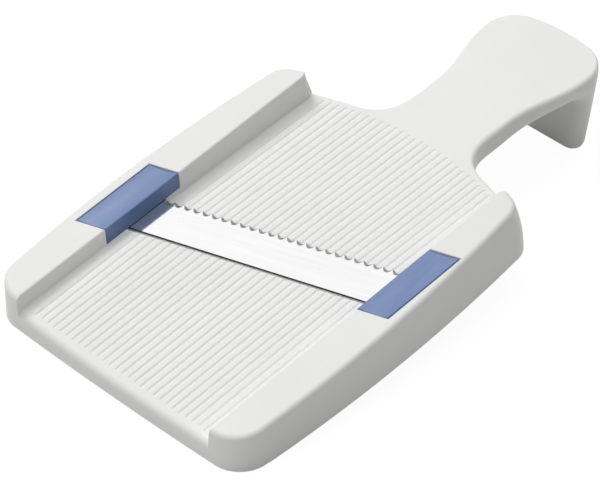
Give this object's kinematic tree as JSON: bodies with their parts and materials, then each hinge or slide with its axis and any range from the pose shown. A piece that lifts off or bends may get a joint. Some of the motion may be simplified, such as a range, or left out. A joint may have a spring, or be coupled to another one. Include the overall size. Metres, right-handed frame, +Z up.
{
  "type": "vegetable slicer",
  "caption": "Moulded hand slicer with ribbed decks between side rails, an oblique scalloped steel blade held by clips, and a paddle handle that ends in a hook.",
  "frame": {"origin": "middle of the footprint, on the table the slicer stands on", "axes": "+Z up, +Y along the slicer from its near end to the handle, +X to the right seen from the near end"},
  "size_m": [0.1346, 0.2416, 0.0392],
  "materials": {
    "white_moulding": "fine grain",
    "steel": "polished",
    "blue_moulding": "satin"
  },
  "bodies": {
    "body": {"body": "white_moulding"},
    "blade": {"blade": "steel"},
    "clip_left": {"clip_left": "blue_moulding"},
    "clip_right": {"clip_right": "blue_moulding"}
  },
  "joints": [
    {"name": "blade_lift", "type": "slide", "parent": "body", "child": "blade", "axis": [0, 0, 1], "range_m": [0, 0.03]},
    {"name": "clip_left_lift", "type": "slide", "parent": "blade", "child": "clip_left", "axis": [0, 0, 1], "range_m": [0, 0.025]},
    {"name": "clip_right_lift", "type": "slide", "parent": "blade", "child": "clip_right", "axis": [0, 0, 1], "range_m": [0, 0.025]}
  ]
}
